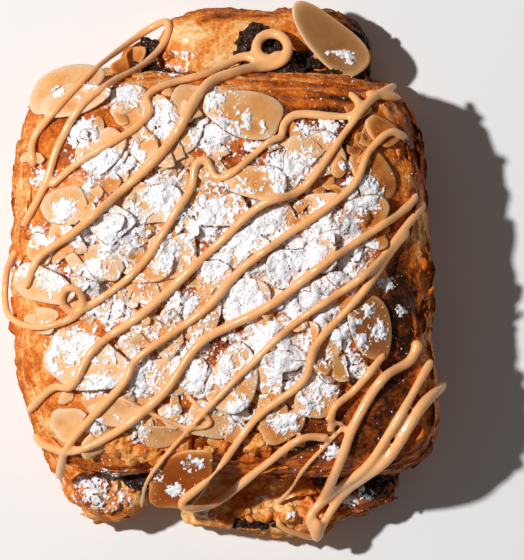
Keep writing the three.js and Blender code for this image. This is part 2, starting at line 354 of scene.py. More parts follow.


# %% [markdown]
# ## Where the sugar fell
# The powder was sieved unevenly: thick over the middle, thin towards the sides, and in heaps where
# the almonds caught it. Each heap is a soft spot in plan: place, reach across and along, amount.
# The large ones are listed, and small ones are strewn between them.

# %% Dusting
HEAPS = [
    (0, 0, 34, 32, 0.3), (-27, -49, 8, 6, 0.42), (31, 17, 4, 4, 1.0), (30, 7, 4.5, 4, 1.0),
    (25, -1, 5, 4, 1.0), (24, -9, 4, 4, 0.9), (27, -13, 3, 4, 0.8), (-37.1, 41.6, 1.3, 1.5, 0.75),
    (-30, 42.6, 1.7, 1.2, 0.75), (-32.1, 40.1, 0.9, 1.1, 0.7), (-31, 32, 3.2, 3.6, 0.9),
    (-22.5, 40.5, 4, 3.2, 0.9), (-25, 25, 7.5, 4, 1.0), (-13, 35, 4, 4.6, 0.9),
    (-1.5, 31.5, 5, 4.4, 1.0), (-2, 40, 2.4, 4, 0.8), (-23, 11, 6.5, 7, 1.0), (-31, 9, 4, 3, 0.9),
    (-12.5, 17.5, 4.5, 6, 0.9), (-3, 12.5, 6.5, 5.5, 1.0), (4.5, 8, 4, 4.4, 1.0), (10, 12, 4.5, 4, 1.0),
    (15.5, 24, 7, 4, 1.0), (23.5, 32.5, 3.6, 3.2, 0.8), (31.5, 19, 4.2, 4.2, 1.0),
    (25, 11.5, 6.5, 4.4, 1.1), (15.5, 3.5, 8.5, 7.5, 1.2), (4.5, -5.5, 5, 5.5, 1.2),
    (10, -14.5, 6, 4.6, 1.1), (18.5, -5.5, 7.5, 4, 1.1), (28, 2.5, 4.5, 3.2, 0.9),
    (15.5, -19.5, 6, 7, 1.1), (-13, 4.5, 4.6, 4.6, 0.9), (-9.5, -6.5, 4.6, 3.6, 0.9),
    (-1.5, 2, 4, 4, 0.9), (-33.5, -15.5, 5.5, 4, 0.72), (-37, -19, 3.4, 3.6, 0.45),
    (-27.5, -24.5, 4.5, 3.2, 0.8), (-17.5, -22.5, 4.5, 4.5, 0.9), (-5, -22.5, 3.8, 4.2, 0.9),
    (0.8, -23, 2.6, 4.2, 0.9), (3.4, -31, 3.2, 3.2, 0.9), (-19.5, -17, 3.2, 2.4, 0.7),
    (-8.5, -18, 4.2, 2.8, 0.8), (22, -25, 4.4, 3.2, 0.8), (-37.5, -1, 4.6, 3.6, 0.66),
    (-29.5, -1, 4.6, 3.6, 0.8), (-45, 1, 2.6, 2.6, 0.7), (-41, 9, 3.2, 2.6, 0.68),
    (-35.5, 14.5, 3.4, 3.2, 0.8), (-19, -35, 3.8, 2.6, 0.6), (-28.5, -48, 4, 3.6, 1.0),
    (20, -28.5, 3.6, 3, 0.7), (-11.5, 47, 3.4, 2, 0.7), (30, -20.5, 2.6, 3.2, 0.7),
    (28, -51.2, 2.6, 1.8, 1.0), (-23, -8, 4.2, 3.6, 0.8), (-40, 22, 3, 2.8, 0.7),
    (13.5, -33.5, 4.5, 3, 0.7), (24, -39.8, 2.4, 1.8, 0.6), (33.5, -49.2, 3.2, 1.8, 1.0),
    (-29.5, -52, 2.4, 1.6, 0.7), (26.5, 50.8, 3, 1.4, 0.6), (29, 49, 1.2, 1.2, 0.5),
    (-6.5, -42.5, 2.4, 2, 0.55), (-10.5, -48.5, 2, 1.6, 0.6), (-14.6, -44.5, 1.6, 2.2, 0.6),
    (-24.5, -46, 2, 2, 0.7), (-5, -54, 3, 1.4, 0.5), (16, -54.6, 2.6, 1, 0.5), (-9, 50.5, 4, 1.6, 0.45),
    (19, 46.5, 2, 1, 0.5), (2, 47.4, 2.4, 1, 0.4), (35.3, -12.1, 2.2, 2.6, 0.6),
    (31.3, -15.5, 2, 2.2, 0.6), (33.5, -8, 1.6, 1.6, 0.6), (36.5, -1.8, 2.2, 1.8, 0.7),
    (40.2, -7.8, 1.5, 1.5, 0.6), (23.3, -46.7, 2, 1.5, 0.6), (9.5, -50, 2, 1.5, 0.5),
]
HEAP_NUMBER = 195
SPRINKLE = 0.05
FILM_SHARE, FILM_LIMIT = 0.6, 0.37


# The crust is bare along the right and left edges and at the near right corner
def toppings_lie_at(x, y):
    right = (x > 19 and y < -24) or (x > 4 and y < -36) or x > 37 - 0.1 * abs(y) or (x > 8 and y > 37)
    left = x < -43 or (x < -36 and abs(y - 1) > 13) or (x < -30 and y < -28) or (x < -31 and 22 < y < 37)
    return not (left or right)


heap_rng = np.random.default_rng(33)
while len(HEAPS) < HEAP_NUMBER:
    x, y = heap_rng.uniform(-43, 37), heap_rng.uniform(-36, 42)
    if toppings_lie_at(x, y):
        HEAPS.append((x, y, *heap_rng.uniform(0.8, 2.4, 2), heap_rng.uniform(0.5, 0.85)))
print("heaps of sugar:", len(HEAPS))


# %% Dust at a point
def dust_at(points):
    total = np.full(len(points), SPRINKLE)
    for *place_and_reach, amount in HEAPS:
        total = np.maximum(total, amount * soft_spot(points, *place_and_reach, power=1.4, fall=0.9))
    return total


def film_at(points):
    return np.minimum(FILM_SHARE * dust_at(points), FILM_LIMIT)


# %% [markdown]
# ## Crust
# Laminated dough bakes in leaves. At the sides their edges show as thin shelves that stand out by
# different amounts, pale inside and brown along the lip. Hundreds of modelled sheets could show
# this, but they would cost many faces. A sawtooth up the height makes the shelves instead, and
# random values per leaf make them ragged. The brownness is marked for the finish, and painted
# shade and painted light are mixed into it.


# %% Leaves of dough
LEAF_APART = 41.3


def leaves(points, outward, seed, pitch):
    sway = 1.1 * cloud(points, 26, seed) + 0.5 * cloud(points, 9, seed + 1)
    level = (points[:, 2] + 1.6 * sway) / pitch
    number = np.floor(level)
    rise = level - number
    ragged = np.column_stack([points[:, 0], points[:, 1], number * LEAF_APART])
    reach = 0.55 + 0.75 * cloud(ragged, 8, seed + 2) + 0.35 * cloud(ragged, 2.6, seed + 3)
    lip = rise**1.8
    crumble = 0.25 * cloud(points, 1.6, seed + 4)
    shelf = 1.15 * (lip - 0.3) * np.clip(reach, 0.1, 1.5) + crumble
    return shelf * outward, lip * outward


# %% [markdown]
# An oven browns unevenly. Each area is a soft spot in plan, as with the sugar: place, reach
# across and along, and how much darker, or paler below zero, the crust is there. A few areas are
# painted light and shade instead of browning. The paler strip on the right flank and the paler
# near end of the lower half lift crust that lies in shade. The darker near right corner is partly
# painted shade.

# %% Browned areas and painted light
BROWNING_AND_PAINTED_LIGHT_TOP = [
    # The paler strip on the right flank (47, -5) is painted light in shade, and the darker near right
    # corner (34, -34) is partly painted shade
    (47, -5, 3.4, 42, -0.06), (34, -34, 16, 12, 0.15), (6, -40, 30, 5, 0.18), (22, 40, 20, 6, 0.14),
    (22, 34, 9, 5, 0.16), (-45, 33, 4, 7, -0.13), (-37, 30, 5, 8, 0.16), (-40, -28, 10, 14, -0.07),
    (30, 14, 8, 10, 0.14), (12, -34, 10, 5, 0.14), (40.3, -6, 3.2, 9, 0.6), (45, 30, 5, 12, 0.22),
    (40, -18, 4.5, 14, 0.22), (-46, -8, 4, 14, -0.09),
]
BROWNING_AND_PAINTED_LIGHT_BELOW = [
    # The paler near end (4, -51) is painted light where the upper half shades it
    (0, 52, 16, 6, -0.3), (4, 60, 22, 2.2, 0.22), (31, 52, 5, 10, 0.4), (-14, 50, 4, 6, 0.1),
    (-28, -51, 10, 6, 0.08), (4, -51, 17, 7, -0.22), (33, -51, 10, 6, 0.3), (46, 0, 5, 40, 0.15),
    (-19, 49, 5, 5, 0.2),
]
PALEST, DARKEST = 0.05, 0.95


def browning_and_painted_light(points, areas):
    total = np.zeros(len(points))
    for *place_and_reach, amount in areas:
        total += amount * soft_spot(points, *place_and_reach, power=1.5, fall=0.7)
    return total


def mark_crust(piece, bake_and_painted_light, dust):
    mark(piece, "bake_and_painted_light", np.clip(bake_and_painted_light, PALEST, DARKEST))
    mark(piece, "dust", dust)


print("browned areas:", len(BROWNING_AND_PAINTED_LIGHT_TOP) + len(BROWNING_AND_PAINTED_LIGHT_BELOW))

# %% [markdown]
# Baked crust runs from pale dough over orange to nearly black, and egg wash gives the upper half a
# shine. Separate materials for pale and dark crust would meet in a line. One ramp of colours is
# driven by the marked brownness instead, with mottle, specks and streaks added to it. The marked
# value also carries some painted shade and painted light.


# %% Crust finish
def make_crust(name, glaze, mottled, streaks, stretch):
    sockets = {"Specular_IOR_Level": 0.12, "Coat_Weight": glaze, "Coat_Roughness": 0.16}
    material, tree, shader = new_finish(name, **sockets)
    grain = grain_of(tree)
    brown_and_painted_light = sums(tree, "ADD", marked(tree, "bake_and_painted_light"), swing(tree, grain["Mottle"], mottled))
    brown_and_painted_light = sums(tree, "ADD", brown_and_painted_light, swing(tree, grain["Speck"], 0.75))
    turning = {"Vector": object_place(tree), "Rotation": (0, 0, 0.16), "Scale": stretch}
    turned = add(tree, "ShaderNodeMapping", turning).outputs["Vector"]
    streak = swing(tree, noise(tree, turned, 1.7, 4, 0.6), streaks)
    brown_and_painted_light = sums(tree, "ADD", brown_and_painted_light, streak, clamp=True)
    colour = ramp(tree, brown_and_painted_light, [
        (0.0, srgb(248, 214, 164)),
        (0.2, srgb(240, 178, 104)),
        (0.4, srgb(226, 126, 44)),
        (0.58, srgb(192, 92, 20)),
        (0.74, srgb(144, 66, 12)),
        (0.88, srgb(92, 41, 7)),
        (1.0, srgb(42, 18, 5)),
    ])
    colour, mask = under_film(tree, colour)
    rough = scaled(tree, grain["Speck"], 0.35, 0.62 - glaze)
    rough = sums(tree, "ADD", rough, sums(tree, "MULTIPLY", mask, 0.4), clamp=True)
    wire(tree, shader, Base_Color=colour, Roughness=rough)
    emboss(tree, shader, grain["Height"], strength=0.9, depth=0.9)
    return material


LOWER_CRUST = make_crust("lower_crust", glaze=0.08, mottled=0.4, streaks=0.55, stretch=(0.3, 0.5, 1.9))
UPPER_CRUST = make_crust("upper_crust", glaze=0.25, mottled=0.6, streaks=0.25, stretch=(0.35, 1, 1.2))
print("finishes:", LOWER_CRUST.name, UPPER_CRUST.name)

# %% [markdown]
# ## Lower half
# The solid already has the outline and the rolled ends. It could be displaced by a texture, but a
# texture doesn't know the sides from the top. So a copy is rebuilt in small even faces by Remesh,
# rounded by Smooth, and then its points are moved: leaves at the sides, crags at the near end, and
# shoulders that puff up along the long sides.

# %% Base form
FLAT = np.array([1, 1, 0])
base = copy_of_node("base", "pastry_base")
rebuild(base, voxel=0.64, rounds=7)
points = points_of(base)
normals = normals_of(base)
print("base points:", len(points))

# %% Base surface
# Where its near end is drawn out: place, reach across and along, and the way it goes
PULLS = [
    (-35, -44, 5, 4.5, -2.2, -1.6), (17, -57, 5, 4, 0, -1.6), (30.5, -51.5, 3.5, 3, 1.0, -1.8),
]
side = np.sqrt(np.clip(1 - normals[:, 2] ** 2, 0, 1)) * ease(points[:, 2], 0.2, 1.5)
side = ease(side, 0.15, 0.7)
out = normals * FLAT
out /= np.maximum(np.linalg.norm(out, axis=1, keepdims=True), 1e-6)
shelf, lip = leaves(points, side, seed=11, pitch=2.5)
near_end = ease(np.abs(points[:, 1]), 42, 48) * (points[:, 1] < 0)
craggy = 0.9 * cloud(points, 5, 21) + 0.7 * cloud(points, 2.4, 22) + 0.4 * cloud(points, 1.3, 23)
lumps = (0.3 + 0.95 * near_end) * craggy * ease(points[:, 2], 0, 2)
shoulder = ease(np.abs(points[:, 0]), 41.5, 44.5) * ease(points[:, 2], 10, 17)
moved = points + out * shelf[:, None] + normals * lumps[:, None]
moved[:, 2] += shoulder * np.clip(1.5 + 1.6 * cloud(points * FLAT, 12, 24), 0, 3)
for pull_x, pull_y, across, along, *way in PULLS:
    moved[:, :2] += np.outer(soft_spot(points, pull_x, pull_y, across, along), way)
move_points(base, moved)
print("base leaves stand out by up to", round(float(shelf.max()), 1), "mm")

# %% Base browning, with painted light and shade
# The crust is darker in the hollows of the crags and paler on their tips: painted shade and light
bake_and_painted_light = 0.48 + 0.3 * lip - 0.2 * side + 0.18 * cloud(points, 9, 31) - 0.14 * craggy
bake_and_painted_light = bake_and_painted_light + browning_and_painted_light(points, BROWNING_AND_PAINTED_LIGHT_BELOW)
mark_crust(base, bake_and_painted_light, film_at(points) * ease(normals[:, 2], 0.2, 0.9))
complete(base, "pastry_base", LOWER_CRUST, "lower_crust", "base")

# %% [markdown]
# ## Chocolate
# The filling is baked dry: it breaks into dark lumps where it shows at the ends, with small pale
# specks. A bump in the finish would leave its rim straight, so the copy of its solid is broken up by
# noise along the rim. The finish goes through three dark browns with the grain and adds the pale
# specks to its colour, partly as painted glints and partly as sugar.


# %% Chocolate finish
def make_chocolate():
    material, tree, shader = new_finish("dark_chocolate", Specular_IOR_Level=0.15)
    grain = grain_of(tree)
    colour = ramp(tree, grain["Speck"], [
        (0.3, srgb(20, 11, 8)),
        (0.55, srgb(50, 27, 16)),
        (0.75, srgb(100, 58, 34)),
    ])
    # Pale specks in the colour: partly painted glints, partly grains of sugar
    glint_and_sugar = sums(tree, "SUBTRACT", noise(tree, object_place(tree), 0.5, 2, 0.6), 0.64)
    glint_and_sugar = sums(tree, "MULTIPLY", glint_and_sugar, 14.0, clamp=True)
    colour = blend(tree, glint_and_sugar, colour, srgb(206, 198, 194))
    wire(tree, shader, Base_Color=colour, Roughness=scaled(tree, grain["Mottle"], 0.4, 0.45))
    emboss(tree, shader, grain["Height"], strength=0.8, depth=0.6)
    return material


CHOCOLATE = make_chocolate()
print("finish:", CHOCOLATE.name)

# %% Filling
filling = copy_of_node("filling", "chocolate_filling")
rebuild(filling, voxel=0.8, rounds=3)
points = points_of(filling)
normals = normals_of(filling)
rim = ease(np.linalg.norm(normals * FLAT, axis=1), 0.2, 0.8)
lumps = 1.1 * cloud(points, 3.4, 41) + 0.9 * cloud(points, 1.7, 42) - 0.3
points = points + normals * (rim * lumps)[:, None]
points[:, :2] += np.outer(soft_spot(points, -22, 47, 4, 3), (1.2, -2.6))
move_points(filling, points)
complete(filling, "chocolate_filling", CHOCOLATE, "chocolate", "filling")

# %% [markdown]
# ## Upper half
# The crown is a pillow: a rounded square in plan with one corner drawn out, and a low dome in
# section. A rounded cube would do for a start, but a UV sphere has its rings in the right order, so
# its points are moved to the pillow's outline and height, ring by ring. Then it gets bumps on top,
# leaves round the sides, and a rim that hangs over the filling.

# %% Crown outline
CROWN_WIDE = 47.0
CROWN_LONG = 45.5
CROWN_HIGH = 18.0
CROWN_WAIST = 0.12
CROWN_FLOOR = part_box("filling")[1].z / MM + 0.3
# Where its outline leaves the rounded square: direction and spread in degrees, reach in mm
CROWN_LOBES = [
    (-40, 14, 4.5), (36, 8, -2), (22, 9, -1.5), (133, 9, 0.5), (-143, 12, -1.8), (-100, 12, -2),
]


def crown_radius(angle):
    across = np.abs(np.cos(angle) / CROWN_WIDE) ** 5
    along = np.abs(np.sin(angle) / CROWN_LONG) ** 5
    radius = (across + along) ** -0.2
    for at, spread, reach in CROWN_LOBES:
        off = np.angle(np.exp(1j * (angle - math.radians(at))))
        radius = radius + reach * np.exp(-((off / math.radians(spread)) ** 2))
    return radius


print("crown floor in mm:", round(CROWN_FLOOR, 1))

# %% Crown form
ball_settings = {"segments": 340, "ring_count": 210, "radius": 1}
crown = new_primitive(bpy.ops.mesh.primitive_uv_sphere_add, **ball_settings)
ball = points_of(crown) * MM
angle = np.arctan2(ball[:, 1], ball[:, 0])
level = np.clip(ball[:, 2], -1, 1)
share = np.sqrt(np.sqrt(np.clip(1 - level**2, 0, 1)))
swell = np.abs(level) ** (1 / 1.1)
above = CROWN_WAIST + (1 - CROWN_WAIST) * swell
height = CROWN_HIGH * np.where(level > 0, above, CROWN_WAIST - CROWN_WAIST * swell)
radius = crown_radius(angle) * share
points = np.column_stack([radius * np.cos(angle), radius * np.sin(angle), CROWN_FLOOR + height])
print("crown points:", len(points))

# %% Crown top
BUMP_TURN = 2 * math.pi / 15
upper = (level > 0) * (1 - share**6)
bumps = np.sin(BUMP_TURN * points[:, 0] + 1.3) * np.cos(BUMP_TURN * 0.8 * points[:, 1] - 0.4)
bumps = bumps + 0.6 * np.sin(BUMP_TURN * 0.55 * (points[:, 0] + points[:, 1]))
points[:, 2] += 0.5 * bumps * upper
wrinkles = 0.5 * cloud(points, 5.5, 51) + 0.25 * cloud(points, 2.2, 52)
points[:, 2] += wrinkles * ease(level, 0.05, 0.5)
print("crown top in mm:", round(float(points[:, 2].max()), 1))

# %% Crown sides
out = np.column_stack([np.cos(angle), np.sin(angle), np.zeros(len(angle))])
side = ease(share, 0.8, 0.95)
shelf, lip = leaves(points, side, seed=61, pitch=1.9)
pits = 0.45 * cloud(points, 2.2, 56) + 0.3 * cloud(points, 1.1, 57)
pitted = ease(np.abs(points[:, 0]), 30, 42) * pits
points = points + out * (shelf + side * pitted)[:, None]
hang = 2.0 + 2.2 * cloud(points * FLAT, 11, 53) + 0.9 * cloud(points * FLAT, 4, 54)
long_sides = ease(np.abs(np.cos(angle)), 0.72, 0.9)
points[:, 2] -= np.clip(hang, 0, 4) * long_sides * ease(share, 0.93, 0.99) * ease(-level, -0.4, 0.0)
fold = 2 * math.pi * (share * 20 + 0.5 * cloud(points * [0.35, 1, 0], 6, 55))
stripes = np.sin(fold) * ease(points[:, 1], 33, 38) * ease(share, 0.74, 0.82)
points[:, 2] += 0.22 * stripes * (level > 0)
move_points(crown, points)
print("crown leaves stand out by up to", round(float(shelf.max()), 1), "mm")

# %% Crown browning, with painted light and shade
bake_and_painted_light = 0.5 + 0.13 * lip - 0.16 * side + 0.16 * cloud(points, 9, 71) + 0.14 * cloud(points, 3, 72)
# The second term darkens the top from the middle rightwards, where crust shows between the slices:
# painted shade
bake_and_painted_light = bake_and_painted_light - 0.13 * stripes + 0.12 * ease(level, 0.5, 0.8) * ease(points[:, 0], -25, 5)
bake_and_painted_light = bake_and_painted_light + browning_and_painted_light(points, BROWNING_AND_PAINTED_LIGHT_TOP)
mark_crust(crown, bake_and_painted_light, film_at(points) * ease(level, 0.3, 0.7))
complete(crown, "pastry_crown", UPPER_CRUST, "upper_crust", "crown")

# %% [markdown]
# ## Flaked almonds
# A flake is a thin egg-shaped slice of a blanched almond, toasted in the middle and paler along its
# rim. Each could be modelled by itself, but they differ only in outline, curl and tone. So one slice
# is modelled from a disc, with rings for bending and a rounded rim, and copied to the frame of every
# almond solid, and each copy is then shaped. Smaller broken bits fill the spaces between.


# %% One slice
RIM_WIDTH = 0.06
RINGS_WIDTH = 0.9


def make_slice(name, corners, rings):
    disc = {"vertices": corners, "radius": 1, "fill_type": "NGON"}
    piece = new_primitive(bpy.ops.mesh.primitive_circle_add, **disc)
    piece.name = name
    bpy.ops.object.mode_set(mode="EDIT")
    bpy.ops.mesh.select_all(action="SELECT")
    bpy.ops.mesh.inset(thickness=RIM_WIDTH)
    for _ in range(rings):
        bpy.ops.mesh.inset(thickness=RINGS_WIDTH / (rings + 1))
    bpy.ops.mesh.poke()
    bpy.ops.object.mode_set(mode="OBJECT")
    apply(piece, "SOLIDIFY", thickness=1.0, offset=0)
    apply(piece, "TRIANGULATE")
    return take_arrays(piece)


WHOLE = make_slice("whole_slice", corners=40, rings=4)
HALF = make_slice("half_slice", corners=26, rings=2)
BROKEN = make_slice("broken_slice", corners=14, rings=1)
print("slice faces:", len(WHOLE[1]), "bit faces:", len(BROKEN[1]))


# %% Shaping a copy
def shape_slice(master, length, width, thick, rng, chips):
    disc, faces = master
    out = np.hypot(disc[:, 0], disc[:, 1])
    turn = np.arctan2(disc[:, 1], disc[:, 0])
    wave = 0
    for k in range(2, 7):
        depth = rng.normal(0, 0.022 if k > 2 else 0.03)
        wave = wave + depth * np.cos(k * turn + rng.uniform(0, 6.3))
    blunt = (np.abs(np.cos(turn)) ** 2.5 + np.abs(np.sin(turn)) ** 2.5 + 1e-9) ** -0.4
    x = disc[:, 0] * blunt * (1 + wave) * length / 2
    y = disc[:, 1] * blunt * (1 + wave) * (1 - 0.2 * np.cos(turn)) * width / 2
    for _ in range(chips):
        way = rng.uniform(0, 2 * math.pi)
        across = np.array([math.cos(way), math.sin(way)])
        reach = 0.5 * math.hypot(length * across[0], width * across[1]) * rng.uniform(0.3, 0.8)
        beyond = np.maximum(x * across[0] + y * across[1] - reach - 0.12 * np.sin(2.4 * (x - y)), 0)
        x = x - 0.96 * beyond * across[0]
        y = y - 0.96 * beyond * across[1]
    rim = np.sqrt(np.clip(1 - out**10, 0, 1))
    z = np.sign(disc[:, 2]) * thick / 2 * (0.35 + 0.65 * rim)
    curl = rng.normal(0, 0.45) * (2 * x / length) ** 2 + rng.normal(0, 0.25) * (2 * y / width) ** 2
    twist = rng.normal(0, 0.2) * (2 * x / length) * (2 * y / width)
    return np.column_stack([x, y, z + curl + twist]), faces, out


def slice_frame(node):
    points = points_of(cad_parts[node])
    axes = np.linalg.svd(points - points.mean(0), full_matrices=False)[2]
    if axes[2, 2] < 0:
        axes[2] *= -1
    axes[1] = np.cross(axes[2], axes[0])
    local = points @ axes.T
    low, high = local.min(0), local.max(0)
    return (low + high) / 2 @ axes, axes, high - low


# %% Gathering the slices
rng = np.random.default_rng(7)
parts = {"points": [], "faces": [], "rim": [], "tone": [], "along": [], "soaked": []}


def lay(points, faces, out, axes, centre, tone, soaked=0.0):
    parts["faces"].append(faces + sum(map(len, parts["points"])))
    parts["points"].append(points @ axes + centre)
    parts["rim"].append(out)
    parts["tone"].append(np.full(len(points), tone))
    parts["soaked"].append(np.full(len(points), soaked))
    parts["along"].append(points[:, 0] + 0.4 * points[:, 1] ** 2 / 6 + 20 * tone)


def laid_so_far():
    return np.vstack(parts["points"]), np.vstack(parts["faces"])


def tone_at(place):
    # Slices darken a little towards the right, and more past x = 23 mm, which is painted shade
    painted_shade = 0.32 * ease(place[0], 23, 33)
    return float(np.clip(0.27 + 0.0065 * place[0] + painted_shade + rng.normal(0, 0.17), 0, 1))


# %% Laying the whole slices
# Tones of the slices that are soaked with syrup
SOAKED = {"almond_33": 0.5, "almond_36": 0.7, "almond_40": 1.0}
INSIDE_SOLID = 0.96
SLICE_THICK = 0.95
LONG_SLICE = 15
slice_nodes = sorted(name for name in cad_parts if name.startswith("almond_"))
showing = []
for node in slice_nodes:
    centre, axes, size = slice_frame(node)
    if size[0] > LONG_SLICE:
        showing.append((centre, size[0]))
    chips = int(rng.random() < 0.4 and node not in SOAKED)
    length, width = INSIDE_SOLID * size[0], INSIDE_SOLID * size[1]
    points, faces, out = shape_slice(WHOLE, length, width, SLICE_THICK, rng, chips)
    tone = SOAKED.get(node, tone_at(centre))
    lay(points, faces, out, axes, centre, tone, float(node in SOAKED))
print("whole slices:", len(slice_nodes))

# %% [markdown]
# What isn't a solid of its own has to find its place. A rigid-body drop could do it, but slowly. A
# ray straight down gives the height and the slope of what lies below a spot, and that is enough for
# flat slices, crumbs, powder and cream.

# %% What lies below a spot
SKY = 0.1


def tree_of(piece):
    return BVHTree.FromObject(piece, bpy.context.evaluated_depsgraph_get())


def tree_of_arrays(points, faces):
    return BVHTree.FromPolygons((points * MM).tolist(), faces.tolist())


def drop(trees, x, y):
    best = None
    for tree in trees:
        place, normal, _, _ = tree.ray_cast(Vector((x * MM, y * MM, SKY)), Vector((0, 0, -1)))
        if place is not None and (best is None or place.z > best[0].z):
            best = place, normal
    return best


crown_tree = tree_of(crown)
base_tree = tree_of(base)
print("height in the middle in mm:", round(drop([crown_tree], 0, 0)[0].z / MM, 1))


# %% Strewing bits
TRIES = 6


def almonds_lie_at(x, y):
    hollow = math.hypot((x - 21.5) / 7, (y - 33.5) / 4) < 1
    near_end = (x > 6 and y < -31) or (-27 < x < -7 and y < -34)
    return toppings_lie_at(x, y) and not (hollow or near_end)


def hides_a_slice(x, y):
    return any(math.hypot(x - spot[0], y - spot[1]) < 0.45 * length for spot, length in showing)


def strew(master, rests_on, wanted, shortest, longest, thick, over):
    laid = 0
    for _ in range(wanted * TRIES):
        x, y = rng.uniform(-44, 38), rng.uniform(-38, 42)
        hit = drop(rests_on, x, y)
        if laid == wanted or hit is None or hit[1].z < 0.7 or not almonds_lie_at(x, y):
            continue
        if drop([crown_tree], x, y)[0].z < hit[0].z - 0.3 * MM and rng.random() > over:
            continue
        if hides_a_slice(x, y):
            continue
        length = rng.uniform(shortest, longest)
        width = length * rng.uniform(0.5, 0.85)
        points, faces, out = shape_slice(master, length, width, thick, rng, rng.integers(1, 4))
        up = np.array(hit[1]) + rng.normal(0, 0.13, 3)
        up /= np.linalg.norm(up)
        turn = rng.uniform(0, 2 * math.pi)
        heading = np.cross(up, [math.cos(turn), math.sin(turn), 0])
        heading /= np.linalg.norm(heading)
        axes = np.array([heading, np.cross(up, heading), up])
        centre = np.array(hit[0]) / MM + up * rng.uniform(0.1, 0.7)
        lay(points, faces, out, axes, centre, tone_at((x, y)))
        laid += 1
    return laid


# %% [markdown]
# Two slices lie half under others, one on the upper half and one on the lower. They could be tilted
# by hand until they touch. Here a plane is fitted to what lies below each of them, which is how a
# stiff slice settles.

# %% Slices tucked under others
# What carries it, its place, length and width, its turn in degrees, and its tone
TUCKED = [
    (crown_tree, -35.2, 42.6, 18, 9.5, 24, 0.2), (base_tree, -21.2, 48.2, 8.8, 5.6, 42, 0.85),
]
DEEPEST = 6
STEEPEST = 0.6
tucked_rng = np.random.default_rng(9)
for carrier, x, y, length, width, turn, tone in TUCKED:
    heading = np.array([math.cos(math.radians(turn)), math.sin(math.radians(turn))])
    sideways = np.array([-heading[1], heading[0]])
    spots = []
    for u, v in np.ndindex(7, 5):
        spot = (u / 6 - 0.5) * 0.9 * length * heading + (v / 4 - 0.5) * 0.9 * width * sideways
        hit = drop([carrier], x + spot[0], y + spot[1])
        if hit is not None:
            spots.append((1, *spot, hit[0].z / MM))
    spots = np.array(spots)
    spots = spots[spots[:, 3] > spots[:, 3].max() - DEEPEST]
    plane = np.linalg.lstsq(spots[:, :3], spots[:, 3], rcond=None)[0]
    plane[1:] *= min(1, STEEPEST / math.hypot(plane[1], plane[2]))
    above = (spots[:, 3] - spots[:, :3] @ plane).max()
    up = np.array([-plane[1], -plane[2], 1]) / math.hypot(1, plane[1], plane[2])
    long_way = np.array([*heading, plane[1] * heading[0] + plane[2] * heading[1]])
    long_way /= np.linalg.norm(long_way)
    axes = np.array([long_way, np.cross(up, long_way), up])
    points, faces, out = shape_slice(WHOLE, length, width, 0.9, tucked_rng, 0)
    lay(points, faces, out, axes, (x, y, plane[0] + 0.6 * above + 0.3), tone)
print("tucked slices:", len(TUCKED))

# %% Layers of bits
below = [crown_tree, tree_of_arrays(*laid_so_far())]
halves = strew(HALF, below, wanted=80, shortest=7, longest=12.5, thick=0.8, over=0.1)
below = [crown_tree, tree_of_arrays(*laid_so_far())]
bits = strew(BROKEN, below, wanted=130, shortest=3.5, longest=7.5, thick=0.5, over=0.12)
print("slices in between:", halves, "broken bits:", bits)

# %% [markdown]
# A toasted slice is cream to brown, each a little different, with faint lines along it. A few are
# soaked with syrup and look clear and dark within a pale hem. Slices towards the right side are
# also darkened as painted shade. A material for each tone would work too, but values marked on the
# slices let one finish serve them all.


# %% Almond finish
def make_almond():
    sockets = {"Specular_IOR_Level": 0.12, "Subsurface_Weight": 0.3}
    material, tree, shader = new_finish("toasted_almond", **sockets)
    rim, tone = marked(tree, "rim"), marked(tree, "tone")
    grain = grain_of(tree)
    edge = sums(tree, "MULTIPLY", sums(tree, "POWER", rim, 5.0), 0.45)
    toast_and_shade = sums(tree, "SUBTRACT", scaled(tree, tone, 0.62, 0.26), edge)
    toast_and_shade = sums(tree, "ADD", toast_and_shade, swing(tree, grain["Mottle"], 0.9), clamp=True)
    colour = ramp(tree, toast_and_shade, [
        (0.0, srgb(237, 201, 165)),
        (0.3, srgb(233, 179, 122)),
        (0.55, srgb(222, 148, 76)),
        (0.78, srgb(186, 104, 42)),
        (1.0, srgb(122, 62, 20)),
    ])
    clear = ramp(tree, tone, [(0.5, srgb(132, 94, 58)), (1.0, srgb(152, 70, 14))])
    within_hem = sums(tree, "SUBTRACT", 0.95, sums(tree, "POWER", rim, 9.0), clamp=True)
    clear_part = sums(tree, "MULTIPLY", within_hem, marked(tree, "soaked"))
    colour = blend(tree, clear_part, colour, blend(tree, 0.2, clear, colour))
    colour, mask = under_film(tree, colour)
    wire(tree, shader, Base_Color=colour, Roughness=scaled(tree, mask, 0.4, 0.45))
    strip = add(tree, "ShaderNodeCombineXYZ", {"X": marked(tree, "along")}).outputs["Vector"]
    waves = {"Vector": strip, "Scale": 1.3, "Distortion": 2.0}
    lines = add(tree, "ShaderNodeTexWave", waves, bands_direction="X").outputs["Fac"]
    height = scaled(tree, lines, 0.15, grain["Height"])
    emboss(tree, shader, height, strength=0.35, depth=0.4)
    return material


ALMOND = make_almond()
print("finish:", ALMOND.name)

# %% Almonds
almonds = from_arrays("flaked_almonds", *laid_so_far())
for name in ("rim", "tone", "along", "soaked"):
    mark(almonds, name, np.concatenate(parts[name]))
mark(almonds, "dust", film_at(points_of(almonds)) * ease(normals_of(almonds)[:, 2], 0.2, 0.8))
complete(almonds, "flaked_almonds", ALMOND, "almond", *slice_nodes)

# %% [markdown]
# ## Crumbs
# Baked almond cream breaks into golden crumbs along the edges of the upper half, and chocolate
# crumbs collect where the filling is open. Particles could strew them, but every one has to lie on
# something. One lump is an icosphere, turned and stretched for each copy and set on what lies
# below. Remesh then fuses the copies, because crumbs stick together.


# %% One lump and its copies
def make_lump(subdivisions):
    ball = {"subdivisions": subdivisions, "radius": 1}
    return take_arrays(new_primitive(bpy.ops.mesh.primitive_ico_sphere_add, **ball))


